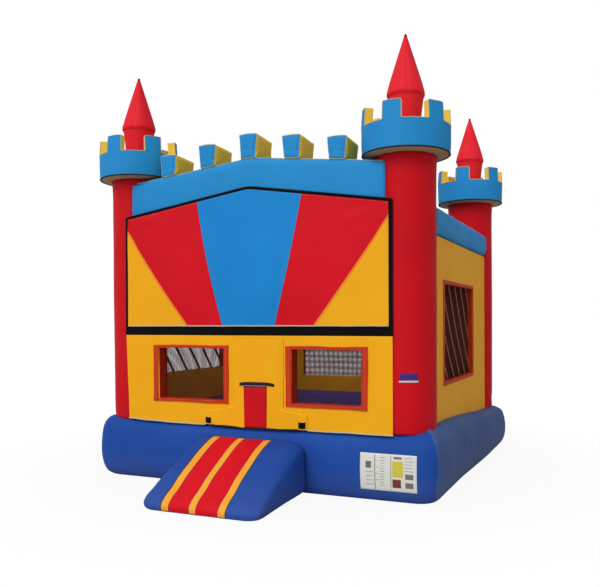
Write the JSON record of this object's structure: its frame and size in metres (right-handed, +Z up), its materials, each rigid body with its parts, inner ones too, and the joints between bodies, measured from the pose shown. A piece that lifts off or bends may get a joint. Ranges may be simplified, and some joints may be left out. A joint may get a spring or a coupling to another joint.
{
  "type": "inflatable bounce house",
  "caption": "Inflatable castle bounce house: base tubes, jumping floor, corner turrets with spires, windowed walls, gabled art panel, door flap and entry ramp.",
  "frame": {"origin": "centre of the base's underside, on the ground", "axes": "+Z up, -Y out of the front with the ramp and the door, +X to the right of someone facing +Y"},
  "size_m": [4.156, 5.55, 4.654],
  "materials": {
    "royal_vinyl": "satin coated vinyl",
    "red_vinyl": "satin coated vinyl",
    "sky_vinyl": "satin coated vinyl",
    "yellow_vinyl": "satin coated vinyl",
    "panel_vinyl": "satin vinyl in yellow, red and blue sectors",
    "orange_red_vinyl": "satin coated vinyl",
    "white_vinyl": "printed satin vinyl",
    "violet_vinyl": "satin coated vinyl",
    "safety_net": "fine dark polyester net",
    "hook_and_loop": "matt black hook and loop tape",
    "black_webbing": "matt black woven webbing",
    "pale_webbing": "pale woven webbing",
    "plated_steel": "zinc plated steel"
  },
  "bodies": {
    "castle": {"base_front": "royal_vinyl", "base_right": "royal_vinyl", "base_rear": "royal_vinyl", "base_left": "royal_vinyl", "bounce_floor": "royal_vinyl", "column_front_left": "red_vinyl", "column_front_right": "red_vinyl", "column_rear_left": "red_vinyl", "column_rear_right": "red_vinyl", "turret_front_left": "sky_vinyl", "turret_front_right": "sky_vinyl", "turret_rear_left": "sky_vinyl", "turret_rear_right": "sky_vinyl", "spire_front_left": "red_vinyl", "spire_front_right": "red_vinyl", "spire_rear_left": "red_vinyl", "spire_rear_right": "red_vinyl", "beam_front": "sky_vinyl", "beam_right": "sky_vinyl", "beam_rear": "sky_vinyl", "beam_left": "sky_vinyl", "merlon_1": "yellow_vinyl", "merlon_2": "yellow_vinyl", "merlon_3": "yellow_vinyl", "merlon_4": "yellow_vinyl", "merlon_5": "yellow_vinyl", "wall_front": "yellow_vinyl", "wall_right": "yellow_vinyl", "wall_rear": "yellow_vinyl", "wall_left": "yellow_vinyl", "front_window_frame_left": "orange_red_vinyl", "front_window_frame_right": "orange_red_vinyl", "front_window_net_left": "safety_net", "front_window_net_right": "safety_net", "side_window_frame_left": "orange_red_vinyl", "side_window_frame_right": "orange_red_vinyl", "side_window_net_left": "safety_net", "side_window_net_right": "safety_net", "rear_window_net": "safety_net", "upper_net": "safety_net", "panel_border": "hook_and_loop", "entry_ramp": "royal_vinyl", "info_panel": "white_vinyl", "column_patch": "violet_vinyl", "column_strap": "pale_webbing", "anchor_patch_1": "royal_vinyl", "anchor_patch_2": "royal_vinyl", "inflation_sleeve": "royal_vinyl", "sleeve_strap": "black_webbing", "zip_tape": "black_webbing"},
    "panel": {"art_panel": "panel_vinyl"},
    "door": {"door_flap": "yellow_vinyl", "door_pull": "black_webbing", "door_stripe": "red_vinyl", "door_tab_left": "hook_and_loop", "door_tab_right": "hook_and_loop"},
    "ring_1": {"anchor_ring_1": "plated_steel"},
    "ring_2": {"anchor_ring_2": "plated_steel"},
    "slider": {"zip_slider": "plated_steel"}
  },
  "joints": [
    {"name": "door_hinge", "type": "hinge", "parent": "castle", "child": "door", "pos_m": [0.1, -1.958, 1.6], "axis": [-1, 0, 0], "range_deg": [0, 100]},
    {"name": "panel_peel", "type": "slide", "parent": "castle", "child": "panel", "axis": [0, -1, 0], "range_m": [0, 0.3]},
    {"name": "ring_1_swing", "type": "hinge", "parent": "castle", "child": "ring_1", "pos_m": [1.6, 1.9891, 0.3], "axis": [1, 0, 0], "range_deg": [0, 150]},
    {"name": "ring_2_swing", "type": "hinge", "parent": "castle", "child": "ring_2", "pos_m": [-1.6, 1.9891, 0.3], "axis": [1, 0, 0], "range_deg": [0, 150]},
    {"name": "zip_slide", "type": "slide", "parent": "castle", "child": "slider", "axis": [1, 0, 0], "range_m": [0, 0.8]}
  ]
}
